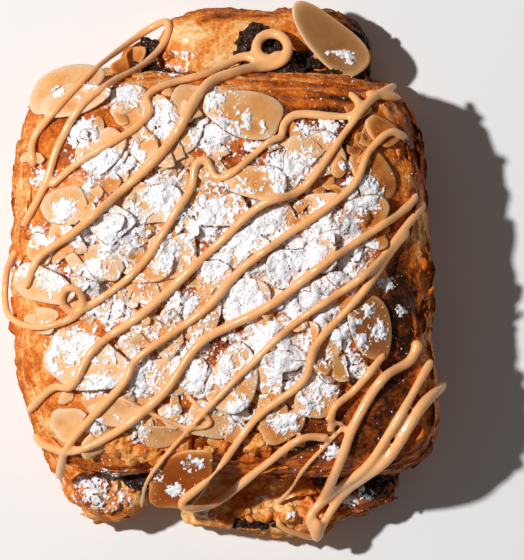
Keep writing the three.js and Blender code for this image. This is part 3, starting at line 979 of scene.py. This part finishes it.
def many(shape, places, sizes, rng):
    points, faces = shape
    spins = np.linalg.qr(rng.normal(size=(len(places), 3, 3)))[0]
    spins[np.linalg.det(spins) < 0] *= -1
    stretch = sizes[:, None] * rng.uniform(0.65, 1.3, (len(places), 3))
    copies = np.einsum("pk,nk,nkj->npj", points, stretch, spins) + places[:, None, :]
    order = faces[None] + (np.arange(len(places)) * len(points))[:, None, None]
    return copies.reshape(-1, 3), order.reshape(-1, 3)


LUMP = make_lump(2)
print("lump faces:", len(LUMP[1]))

# %% Strewing crumbs
SCATTER = 1.7
CRUMB_VOXEL = 0.3
almond_tree = tree_of(almonds)


def strew_crumbs(areas, rests_on, rng, lowest, smallest, largest):
    places, sizes = [], []
    for area_x, area_y, across, along, number in areas:
        for _ in range(number):
            turn, far = rng.uniform(0, 2 * math.pi), rng.random() ** 0.5
            x = area_x + SCATTER * across * far * math.cos(turn)
            y = area_y + SCATTER * along * far * math.sin(turn)
            hit = drop(rests_on, x, y)
            over = drop([almond_tree], x, y)
            if hit is None or hit[0].z < lowest * MM or (over is not None and over[0].z > hit[0].z):
                continue
            size = smallest + (largest - smallest) * rng.random() ** 2.2
            places.append(np.array(hit[0]) / MM + [0, 0, 0.1 * size])
            sizes.append(size)
    print("crumbs:", len(places))
    return from_arrays("crumbs", *many(LUMP, np.array(places), np.array(sizes), rng))


def roughen_crumbs(piece):
    apply(piece, "REMESH", mode="VOXEL", voxel_size=CRUMB_VOXEL * MM)
    points = points_of(piece)
    rough = 0.4 * cloud(points, 1.4, 101) + 0.42 * cloud(points, 0.7, 102) - 0.1
    move_points(piece, points + normals_of(piece) * rough[:, None])
    apply(piece, "SMOOTH", factor=0.5, iterations=2)


# %% Golden crumbs
# Place, reach across and along, and how many are tried
CREAM_AREAS = [
    (-20, -38.2, 4, 1.7, 130), (-12.5, -39.4, 3, 1.5, 80), (12, -37.5, 4, 1.6, 46),
    (-4, -39, 5, 1.4, 24), (-26, -49, 3.4, 2.4, 60), (8, -54.5, 6, 1.4, 34), (23, -53.5, 3, 1.4, 24),
    (-13, 48, 1.6, 1.6, 14), (14, -33, 3, 2.4, 36),
]
crumb_rng = np.random.default_rng(17)
below = [crown_tree, base_tree]
golden = strew_crumbs(CREAM_AREAS, below, crumb_rng, lowest=9, smallest=0.4, largest=2.1)
roughen_crumbs(golden)
golden_points = points_of(golden)
mark_crust(golden, 0.34 + 0.2 * cloud(golden_points, 2.5, 103), np.full(len(golden_points), 0.12))
complete(golden, "cream_crumbs", LOWER_CRUST, "crumb")

# %% Chocolate crumbs
CHOCOLATE_AREAS = [
    (8, 51.8, 2.9, 2.9, 260), (15, 48.4, 4.6, 1.7, 260), (32, 52, 1.3, 4.4, 220),
    (27, 45.6, 2.4, 1.2, 70), (-16.3, 51, 1.0, 2.8, 150), (-15.5, -46, 1.9, 2.4, 170),
    (30, -46.6, 6, 1, 190), (35, -48, 2.6, 1.4, 160), (7, -56.6, 3.4, 0.5, 60), (40.5, -3, 1.2, 6, 140),
]
filling_tree = tree_of(filling)
below = [base_tree, filling_tree]
dark = strew_crumbs(CHOCOLATE_AREAS, below, crumb_rng, lowest=10, smallest=0.3, largest=1.2)
roughen_crumbs(dark)
complete(dark, "chocolate_crumbs", CHOCOLATE, "chocolate")

# %% [markdown]
# ## Peeling leaves
# The outermost leaves of dough curl away from the sides, most of all at the right and at the ends.
# They could be pulled out of the crust itself, but thin sheets need faces of their own. One leaf is
# a small grid with thickness. Copies are rooted in the side and point outwards, each with its own
# size, tilt and curl.


# %% One leaf
def make_leaf():
    grid = {"x_subdivisions": 6, "y_subdivisions": 2, "size": 1}
    piece = new_primitive(bpy.ops.mesh.primitive_grid_add, **grid)
    apply(piece, "SOLIDIFY", thickness=0.04, offset=0)
    apply(piece, "TRIANGULATE")
    return take_arrays(piece)


LEAF = make_leaf()
print("leaf faces:", len(LEAF[1]))

# %% A leaf on the side
OUTSIDE = 0.12
ROOT = 0.7
leaf_rng = np.random.default_rng(23)


def root_on_side(tree, angle, height):
    out = Vector((math.cos(angle), math.sin(angle), 0))
    place, normal, _, _ = tree.ray_cast(out * OUTSIDE + Vector((0, 0, height * MM)), -out)
    return (None, None) if place is None else (np.array(place) / MM, np.array(normal))


def grow_leaf(place, normal):
    out = normal * FLAT / np.linalg.norm(normal[:2])
    along = np.array([-out[1], out[0], leaf_rng.normal(0, 0.12)])
    tilt = leaf_rng.normal(0.15, 0.35)
    across = out * math.cos(tilt) + np.array([0, 0, math.sin(tilt)])
    length, width = leaf_rng.uniform(3, 7.5), 0.6 + 1.2 * leaf_rng.random() ** 2.5
    u, v, w = LEAF[0].T
    taper = 1 - leaf_rng.uniform(0.2, 0.9) * (2 * u) ** 2
    frayed = 1 + 0.25 * cloud(LEAF[0] * 20 + leaf_rng.uniform(0, 90), 5, 24)
    reach = (v + 0.5) * width * taper * frayed
    curl = leaf_rng.normal(0.1, 0.22) * (v + 0.5) ** 2 * width + leaf_rng.normal(0, 0.5) * u * v
    grown = place - ROOT * out + np.outer(u * length, along) + np.outer(reach, across)
    grown[:, 2] += curl + w * 4
    return grown, 0.36 + leaf_rng.normal(0, 0.12) + 0.25 * (v + 0.5)


# %% Leaves round the sides
FAR_END = 1.57
leaf_points, leaf_faces, leaf_bake = [], [], []
for tree, low, high, number in ((crown_tree, 23.5, 36, 420), (base_tree, 4, 16.5, 220)):
    for _ in range(number):
        anywhere, right = leaf_rng.uniform(-math.pi, math.pi), leaf_rng.normal(-0.1, 0.55)
        angle = leaf_rng.choice([anywhere, right], p=[0.6, 0.4])
        if abs(angle - FAR_END) < 0.75 and leaf_rng.random() < 0.7:
            continue
        place, normal = root_on_side(tree, angle, leaf_rng.uniform(low, high))
        if place is None or abs(normal[2]) > 0.6:
            continue
        grown, bake_and_painted_light = grow_leaf(place, normal)
        leaf_faces.append(LEAF[1] + len(leaf_points) * len(grown))
        leaf_points.append(grown)
        leaf_bake.append(bake_and_painted_light)
print("leaves:", len(leaf_points))

# %% Leaf browning, with painted shade
peel = from_arrays("crust_leaves", np.vstack(leaf_points), np.vstack(leaf_faces))
points = points_of(peel)
# Leaves darken towards the right, which faces away from the light: partly browning and partly painted
# shade
bake_and_painted_light = np.concatenate(leaf_bake) + 0.6 * browning_and_painted_light(points, BROWNING_AND_PAINTED_LIGHT_TOP) + 0.12 * ease(points[:, 0], 25, 38)
mark_crust(peel, bake_and_painted_light, np.full(len(points), 0.05))
complete(peel, "crust_leaves", LOWER_CRUST, "lower_crust")

# %% [markdown]
# ## Icing sugar
# Powder lies in crumbly drifts, like snow, with ragged edges that break up into single crumbs. White
# in the material alone would look painted on, so the powder is a mesh. The drifts come from the
# amount of dust plus noise of several sizes: where the sum is above zero there is powder, and its
# thickness grows with the sum. The drifts make one thin sheet that follows the crust and the almonds
# below it. The sheet ends below the surface, and loose grains lie on it and round it.

# %% Amount of powder
GRID = 0.21
across = np.arange(-49, 45, GRID)
along = np.arange(-58, 51, GRID)
grid_x, grid_y = np.meshgrid(across, along, indexing="ij")
flat_grid = np.column_stack([grid_x.ravel(), grid_y.ravel(), np.zeros(grid_x.size)])
dusting = dust_at(flat_grid)


def broken(amounts, layers):
    for size, reach, seed in layers:
        amounts = amounts + reach * ease(dusting, 0, 0.25) * cloud(flat_grid, size, seed)
    return amounts


body = broken(1.1 * dusting - 0.54, ((3.2, 0.36, 81), (1.5, 0.38, 82)))
loose = 1 - 0.78 * ease(body, 0.05, 0.5)
drift = body + loose * (broken(body, ((0.8, 0.46, 83), (0.45, 0.62, 84))) - body)
print("powder covers", round(100 * float((drift > 0).mean())), "% of the grid")

# %% Thickness of the powder
THINNEST = 0.06
heaped = ease(body, 0.1, 0.8)
piled = heaped * (0.5 + 0.45 * cloud(flat_grid, 1.9, 87))
lumpy = 0.12 * cloud(flat_grid, 0.9, 85) + (0.2 - 0.02 * heaped) * cloud(flat_grid, 0.45, 86)
thick = np.maximum(0.1 + 0.5 * np.sqrt(np.clip(drift, 0, 1.2)) + piled + lumpy, THINNEST)
powder = np.where(drift > 0, thick, -1).reshape(grid_x.shape)
print("thickest powder in mm:", round(float(powder.max()), 1))

# %% [markdown]
# Where the powder is thick it also fills the gaps between the slices. The filled ground comes from
# spreading the highest level outwards by a few cells and then the lowest level back, which leaves
# wide forms as they are and closes narrow ones.

# %% Ground under the powder
AROUND = [(i - 1, j - 1) for i, j in np.ndindex(3, 3)]
NO_GROUND = -50.0
GAP_CELLS = 6


def widen(values, steps):
    for _ in range(steps):
        values = np.max([np.roll(values, shift, (0, 1)) for shift in AROUND], axis=0)
    return values


wanted = powder > 0
ground = np.full(grid_x.shape, NO_GROUND)
upward = np.zeros(grid_x.shape)
rests_on = [crown_tree, almond_tree, base_tree, tree_of(golden)]
for i, j in np.argwhere(widen(wanted, 4)):
    hit = drop(rests_on, grid_x[i, j], grid_y[i, j])
    if hit is not None:
        ground[i, j] = hit[0].z / MM
        upward[i, j] = hit[1].z
closed = -widen(-widen(ground, GAP_CELLS), GAP_CELLS)
fill = 0.9 * np.clip(closed - ground, 0, 2) * heaped.reshape(grid_x.shape)
print("deepest fill in mm:", round(float(fill.max()), 1))

# %% Powder sheet
EDGE_BELOW = 0.2
FACE_RISE = 0.85
kept = widen(wanted, 1) & (ground > 0) & ((upward > 0.42) | (fill > 0.3))
height = np.where(wanted, ground + fill + powder, ground - EDGE_BELOW)
number = np.full(grid_x.shape, -1)
number[kept] = np.arange(kept.sum())
powder_points = np.column_stack([grid_x[kept], grid_y[kept], height[kept]])
corners = [number[:-1, :-1], number[1:, :-1], number[1:, 1:], number[:-1, 1:]]
corners = np.stack(corners, axis=-1).reshape(-1, 4)
faces = corners[(corners >= 0).all(axis=1)]
faces = faces[np.ptp(powder_points[faces][:, :, 2], axis=1) < FACE_RISE]
sheet = from_arrays("powder_sheet", powder_points, faces)
print("powder points:", len(powder_points), "faces:", len(faces))

# %% [markdown]
# Icing sugar is white and dull, and light goes a little way into it, which softens its shadows. A
# plain white would look like plaster. Fine noise in the colour and the bump shows the grain.


# %% Sugar finish
def make_sugar():
    sockets = {"Roughness": 0.95, "Specular_IOR_Level": 0.15, "Subsurface_Weight": 0.4}
    material, tree, shader = new_finish("icing_sugar", **sockets)
    shader.inputs["Subsurface Radius"].default_value = (1.0, 0.96, 0.92)
    fine = noise(tree, object_place(tree), 0.35, 3, 0.7)
    colour = ramp(tree, fine, [(0.3, srgb(240, 235, 238)), (0.65, srgb(254, 252, 255))])
    wire(tree, shader, Base_Color=colour)
    emboss(tree, shader, fine, strength=0.5, depth=0.2)
    return material


SUGAR = make_sugar()
complete(sheet, "icing_sugar", SUGAR, "icing_sugar")

# %% Loose grains
GRAIN_TRIES = 40000
GRAIN_LIMIT = 8400
GRAIN_LUMP = make_lump(1)
sheet_tree = tree_of(sheet)
dusted = [*rests_on, sheet_tree]
sugar_rng = np.random.default_rng(29)
places, sizes = [], []
spots = sugar_rng.uniform((-46, -56, 0), (43, 51, 0), (GRAIN_TRIES, 3))
spots = spots[sugar_rng.random(len(spots)) < dust_at(spots)]
for x, y, _ in spots[:GRAIN_LIMIT]:
    hit = drop(dusted, x, y)
    if hit is None or hit[1].z < 0.4:
        continue
    size = 0.07 + 0.16 * sugar_rng.random() ** 1.6
    places.append(np.array(hit[0]) / MM + np.array(hit[1]) * size * 0.5)
    sizes.append(size)
print("loose grains:", len(places))
grains = from_arrays("powder_grains", *many(GRAIN_LUMP, np.array(places), np.array(sizes), sugar_rng))
complete(grains, "sugar_grains", SUGAR, "icing_sugar")

# %% [markdown]
# ## Drizzle
# The cream was poured in one looping stream, to and fro across the pastry. It could be sculpted as a
# mesh, but a curve with a round bevel stays round at every bend. Each strand is let down on whatever
# lies under it: it rests on the high spots, sags between them and droops past the edge. The strands
# are then fused by Remesh, because wet strands flow together where they cross.

# %% Courses
FINE, SLIM, MEDIUM, THICK = 0.56, 0.92, 1.02, 1.12
# Radius, its share at the far end, and the course in plan
STRANDS = [
    (SLIM, 1.0, [
        (-42.5, 24.3), (-42.7, 30), (-37, 37.8), (-26, 49), (-16.2, 56.4), (-12.5, 57.7), (-12.9, 53.8),
        (-17.6, 48), (-25.2, 43.4), (-32, 37.6), (-37, 28.8), (-39.8, 20.5), (-45, 10.8),
    ]),
    (SLIM, 1.0, [
        (-46.6, 5.6), (-48.8, 0.7), (-48.4, -8.8), (-42.5, -11.7), (-33.5, -9.5), (-31.3, -6.4),
        (-32.4, -3.4), (-35, -3), (-36, -6), (-33.5, -8.3), (-29.7, -6.8), (-18.7, 1.6), (-10.1, 14.6),
        (-6.8, 19.8), (-5.9, 24.8), (-3.8, 26), (-1.4, 22), (0.7, 22), (11.3, 30.4), (13.2, 31),
        (14, 34), (16.4, 36), (29.3, 36), (30.8, 38.4), (28.6, 41.2),
    ]),
    (SLIM, 1.3, [
        (-38.7, 19.8), (-33, 24.8), (-18.7, 33.8), (-16.2, 37.1), (-17, 39.8), (-14.8, 42),
        (-1.8, 46.1), (4.7, 49.5), (7.2, 49), (9.2, 47.6), (10.1, 46.5),
    ]),
    (1.2, 0.78, [
        (13.2, 50.6), (11.6, 49.1), (9.3, 49), (7.8, 50.6), (8, 52.8), (9.4, 54.3), (11.4, 54.8),
        (13.6, 54), (14.9, 51.6), (14.2, 49.2), (12.4, 47.8), (10, 47.2), (7, 46.9), (-2.3, 43.7),
        (-5.6, 40), (-12.4, 28.8), (-23.6, 18), (-33.1, 9.7), (-41.4, 3.6), (-44.3, -3.2),
    ]),
    (MEDIUM, 1.0, [
        (-43.9, -30.8), (-37.6, -25.2), (-34.2, -25.2), (-29, -16.9), (-16.9, -7.9), (-1.1, 6.8),
        (9, 15.8), (17.6, 19.1), (28.6, 33.3), (33.5, 39.4), (39.2, 43),
    ]),
    (MEDIUM, 1.0, [(32.2, 41), (36.9, 40.3), (40.3, 40)]),
    (MEDIUM, 1.0, [
        (-37.1, -46.1), (-34.9, -38.9), (-21.4, -23.2), (-19.8, -19.6), (-4, -7.9), (4.5, 1.4),
        (13.7, 8.3), (29.5, 20.2), (33.3, 28.1), (38.2, 32.2), (41.6, 30.8),
    ]),
    (MEDIUM, 1.0, [
        (-42.5, -36), (-40.4, -38.2), (-34.2, -39.8), (-24.3, -35.6), (-13, -26.3), (-5, -15.5),
        (10.8, -6.8), (22, 1.8), (42.8, 16.4), (43.9, 18.5),
    ]),
    (MEDIUM, 0.5, [
        (45.7, 16.4), (39.4, 8.3), (33.3, 1.1), (15.3, -11.7), (7, -19.6), (-5.2, -32.2),
        (-16.9, -46.6), (-18.5, -53),
    ]),
    (MEDIUM, 1.0, [
        (41.9, 10.1), (31.5, -4), (20.9, -16.2), (18.5, -23.4), (7.9, -32), (-1.8, -44.8), (-9.3, -52),
        (-2.9, -52.2), (8.6, -43.7), (18.2, -36.7), (24.1, -36.7),
    ]),
    (FINE, 1.4, [(27.7, -33.8), (18.2, -44.1), (15.8, -48.2), (12.4, -52.2)]),
    (MEDIUM, 1.0, [(36.7, -17.6), (29.7, -25.9), (25, -30.2), (24.5, -34.4)]),
    (THICK, 1.0, [
        (44.1, -15.3), (42.5, -19.1), (36.5, -23), (29.7, -33.8), (27, -41), (23.6, -49.3), (22, -52.2),
    ]),
    (THICK, 1.0, [
        (47.3, -19.1), (38.3, -34.7), (32.6, -43.2), (25, -49.3), (20, -55.1), (20.7, -58.5),
    ]),
    (1.3, 0.85, [
        (50.4, -24.5), (45.2, -29.3), (37.1, -41.6), (28.6, -48.4), (23.9, -54.9), (21.4, -60),
    ]),
    (0.74, 1.3, [(12.4, -54.9), (13.5, -57.2), (18.7, -59.4), (21.4, -60)]),
    (1.7, 1.0, [(21.2, -55.4), (21.5, -58), (21.4, -60.4)]),
    (FINE, 1.2, [(23, -32.2), (25, -33), (27.7, -33.7)]),
    (FINE, 1.3, [(-23, -27.5), (-14, -32), (-6.8, -34.4), (-2.6, -33.4), (-4.4, -30.6), (-8.1, -26.8)]),
    (1.95, 1.0, [(43.6, -14.6), (44.2, -17.6)]),
    (1.35, 1.0, [(24.3, -33.6), (24.6, -35.4)]),
    (1.4, 1.0, [(9.1, 47.6), (10, 46.7)]),
]
# Where a strand is thin: place, reach, and the share that is lost
THIN_SPOTS = [
    (-2.2, -44.4, 3.2, 0.62), (16, -48, 3, 0.3), (-29, 46, 10, 0.25), (37, 4.5, 5, 0.15),
]
print("strands to pour:", len(STRANDS))

# %% [markdown]
# The course of a strand is a smooth line through its corners. A spline with handles would need two
# at each corner. Blending the straight lines between neighbouring corners needs none, and knots that
# are spaced by the root of the distance keep it from making loops of its own.

# %% A smooth course, evenly stepped
STEP = 0.7


def between(t, start, stop, first, second):
    return (stop - t) / (stop - start) * first + (t - start) / (stop - start) * second


def smooth_course(corners):
    corners = np.array(corners, float)
    ends = np.vstack([2 * corners[0] - corners[1], corners, 2 * corners[-1] - corners[-2]])
    knots = np.concatenate([[0], np.cumsum(np.sqrt(np.linalg.norm(np.diff(ends, axis=0), axis=1)))])
    path = []
    for k in range(1, len(ends) - 2):
        t0, t1, t2, t3 = knots[k - 1:k + 3]
        p0, p1, p2, p3 = ends[k - 1:k + 3]
        t = np.linspace(t1, t2, 40, endpoint=False)[:, None]
        middle = between(t, t1, t2, p1, p2)
        before = between(t, t0, t2, between(t, t0, t1, p0, p1), middle)
        after = between(t, t1, t3, middle, between(t, t2, t3, p2, p3))
        path.append(between(t, t1, t2, before, after))
    path = np.vstack(path + [corners[-1:]])
    gone = np.concatenate([[0], np.cumsum(np.linalg.norm(np.diff(path, axis=0), axis=1))])
    stops = np.linspace(0, gone[-1], max(4, int(gone[-1] / STEP)))
    return np.column_stack([np.interp(stops, gone, path[:, 0]), np.interp(stops, gone, path[:, 1])])


# %% Letting a strand down
SAG = 0.05
DROOP = 1.6
LOWEST_DRIP = 9.0
QUARTER_TURN = 1.571
SETTLING, SOFTENING = 1500, 6
CARRIERS = [crown_tree, almond_tree, base_tree, filling_tree, sheet_tree, tree_of(golden), tree_of(dark)]


def let_down(course, radius):
    rest = np.full(len(course), LOWEST_DRIP)
    for k, (x, y) in enumerate(course):
        for turn in range(5):
            reach = 0 if turn == 0 else 0.55 * radius
            way = turn * QUARTER_TURN
            hit = drop(CARRIERS, x + reach * math.cos(way), y + reach * math.sin(way))
            if hit is not None:
                rest[k] = max(rest[k], hit[0].z / MM + 0.5 * radius)
    heights = np.full(len(course), rest.max())
    for _ in range(SETTLING):
        free = heights.copy()
        free[1:-1] = (heights[:-2] + heights[2:]) / 2 - SAG
        free[0] = heights[1] - DROOP * STEP
        free[-1] = heights[-2] - DROOP * STEP
        heights = np.maximum(rest, free)
    for _ in range(SOFTENING):
        heights[1:-1] = (heights[:-2] + 2 * heights[1:-1] + heights[2:]) / 4
    return heights


# %% Pouring
def thickness_along(path, radius, end_share, seed):
    swell = 1 + 0.16 * cloud(path, 9, seed) + 0.06 * cloud(path, 3, 92)
    tip = np.minimum(np.arange(len(path)), np.arange(len(path))[::-1]) * STEP
    swell *= np.sqrt(np.clip(tip / radius + 0.15, 0, 1))
    swell *= 1 - (1 - end_share) * np.linspace(0, 1, len(path)) ** 2
    for x, y, reach, loss in THIN_SPOTS:
        away = np.hypot(path[:, 0] - x, path[:, 1] - y) / reach
        swell *= 1 - loss * np.exp(-(away**2))
    return radius * swell


curve = bpy.data.curves.new("drizzle", "CURVE")
curve.dimensions = "3D"
curve.bevel_depth = MM
curve.bevel_resolution = 3
curve.use_fill_caps = True
total = 0
for strand, (radius, end_share, corners) in enumerate(STRANDS):
    course = smooth_course(corners)
    path = np.column_stack([course, let_down(course, radius)])
    spline = curve.splines.new("POLY")
    spline.points.add(len(path) - 1)
    spline.points.foreach_set("co", np.column_stack([path * MM, np.ones(len(path))]).ravel())
    spline.points.foreach_set("radius", thickness_along(path, radius, end_share, 91 + strand))
    total += len(path) * STEP
print("strands:", len(STRANDS), "length in mm:", round(total))

# %% Flowing together
only(new_object("drizzle", curve))
bpy.ops.object.convert(target="MESH")
drizzle = bpy.context.object
rebuild(drizzle, voxel=0.44, rounds=5)
print("drizzle points:", len(drizzle.data.vertices))

# %% [markdown]
# The cream is satin: smooth enough for clear highlights, with a slow change of colour along the
# strands. One even gloss would look like plastic, so fine noise breaks it.


# %% Cream finish
def make_cream():
    sockets = {"Specular_IOR_Level": 0.5, "Subsurface_Weight": 0.15}
    material, tree, shader = new_finish("nut_cream", **sockets)
    place = object_place(tree)
    fine = noise(tree, place, 1.2, 3)
    slow = noise(tree, place, 14, 2)
    colour = ramp(tree, slow, [(0.3, srgb(244, 172, 108)), (0.7, srgb(253, 190, 130))])
    wire(tree, shader, Base_Color=colour, Roughness=scaled(tree, fine, 0.2, 0.2))
    emboss(tree, shader, fine, strength=0.12, depth=0.4)
    return material


CREAM = make_cream()
complete(drizzle, "drizzle", CREAM, "drizzle", "crown")

# %% [markdown]
# ## Stage
# A pale floor, a key light from the left that is small enough for clear shadows, a weak even light
# from all round, and a long lens straight above, so that the sides show as little as they do from
# far away.

# %% Floor
FLOOR_TONE = (0.86, 0.855, 0.85, 1)
floor = new_primitive(bpy.ops.mesh.primitive_plane_add, size=3)
floor.name = "floor"
floor.data.materials.append(new_finish("pale_floor", Roughness=0.8, Base_Color=FLOOR_TONE)[0])
print("stage:", floor.name)


# %% Lights
def area_light(name, place, aim, size, power):
    lamp = bpy.data.lights.new(name, "AREA")
    lamp.shape = "DISK"
    lamp.size = size
    lamp.energy = power
    light = new_object(name, lamp)
    light.location = place
    light.rotation_euler = (Vector(aim) - Vector(place)).to_track_quat("-Z", "Y").to_euler()
    return light


key = area_light("key", place=(-0.62, 0.18, 1.0), aim=(0, 0, 0.03), size=0.05, power=14.6)
world = bpy.data.worlds.new("room")
world.use_nodes = True
room = world.node_tree.nodes["Background"].inputs
room["Color"].default_value = (1, 0.985, 0.96, 1)
room["Strength"].default_value = 0.1
bpy.context.scene.world = world
print("lights:", key.name, world.name)

# %% Camera
PIXEL = 0.225 * MM
IMAGE = (524, 560)
CENTRE_PIXEL = (222, 275)
DISTANCE = 2.0
SENSOR = 36
PASTRY_TOP = 0.038
lens = bpy.data.cameras.new("camera")
lens.sensor_width = SENSOR
lens.lens = SENSOR * DISTANCE / (IMAGE[1] * PIXEL)
lens.clip_end = 10
camera = new_object("camera", lens)
camera.location = (
    (IMAGE[0] / 2 - CENTRE_PIXEL[0]) * PIXEL,
    (CENTRE_PIXEL[1] - IMAGE[1] / 2) * PIXEL,
    PASTRY_TOP + DISTANCE,
)
bpy.context.scene.camera = camera
bpy.context.scene.view_settings.view_transform = "Standard"
print("lens in mm:", round(lens.lens))
